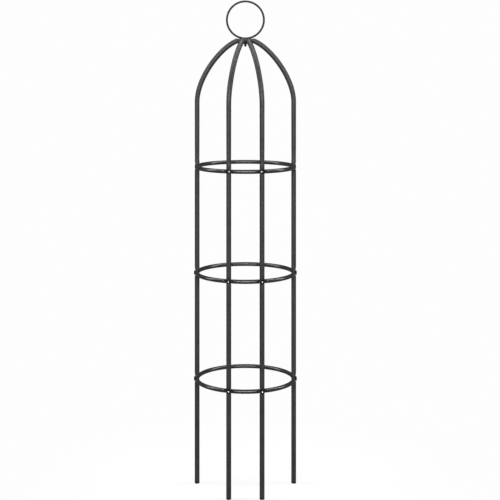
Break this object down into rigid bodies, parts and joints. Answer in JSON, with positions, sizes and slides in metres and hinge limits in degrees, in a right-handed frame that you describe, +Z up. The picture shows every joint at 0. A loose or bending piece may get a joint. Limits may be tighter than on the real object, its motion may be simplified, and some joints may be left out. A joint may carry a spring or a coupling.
{
  "type": "garden obelisk",
  "caption": "Tall open frame for climbing plants: tubular uprights bolted to round hoops, with arches that meet in a hub under a plain ring.",
  "frame": {"origin": "on the ground, at the centre of the circle that the uprights stand on and of the three hoops", "axes": "+Z up. -Y is the front, with two uprights towards it, and +X is the viewer's right, with one upright on each side on the X axis"},
  "size_m": [0.4052, 0.396, 1.9],
  "materials": {
    "leg_coat": "satin charcoal-black powder coat",
    "arch_coat": "satin charcoal-black powder coat",
    "hoop_coat": "satin charcoal-black powder coat",
    "hub_coat": "satin charcoal-black powder coat on a casting",
    "finial_coat": "satin charcoal-black powder coat",
    "bolt_finish": "gloss black",
    "nut_finish": "blackened steel",
    "foot_plastic": "matt black moulded plastic"
  },
  "bodies": {
    "root": {"left_leg_tube": "leg_coat", "left_arch_tube": "arch_coat", "left_foot_cap": "foot_plastic", "front_left_leg_tube": "leg_coat", "front_left_arch_tube": "arch_coat", "front_left_foot_cap": "foot_plastic", "front_right_leg_tube": "leg_coat", "front_right_arch_tube": "arch_coat", "front_right_foot_cap": "foot_plastic", "right_leg_tube": "leg_coat", "right_arch_tube": "arch_coat", "right_foot_cap": "foot_plastic", "low_hoop": "hoop_coat", "low_left_bolt": "bolt_finish", "low_left_nut": "nut_finish", "low_front_left_bolt": "bolt_finish", "low_front_left_nut": "nut_finish", "low_front_right_bolt": "bolt_finish", "low_front_right_nut": "nut_finish", "low_right_bolt": "bolt_finish", "low_right_nut": "nut_finish", "middle_hoop": "hoop_coat", "middle_left_bolt": "bolt_finish", "middle_left_nut": "nut_finish", "middle_front_left_bolt": "bolt_finish", "middle_front_left_nut": "nut_finish", "middle_front_right_bolt": "bolt_finish", "middle_front_right_nut": "nut_finish", "middle_right_bolt": "bolt_finish", "middle_right_nut": "nut_finish", "top_hoop": "hoop_coat", "top_left_bolt": "bolt_finish", "top_left_nut": "nut_finish", "top_front_left_bolt": "bolt_finish", "top_front_left_nut": "nut_finish", "top_front_right_bolt": "bolt_finish", "top_front_right_nut": "nut_finish", "top_right_bolt": "bolt_finish", "top_right_nut": "nut_finish", "crown_hub": "hub_coat", "finial_ring": "finial_coat", "finial_washer": "nut_finish", "finial_cap_nut": "nut_finish"}
  },
  "joints": []
}
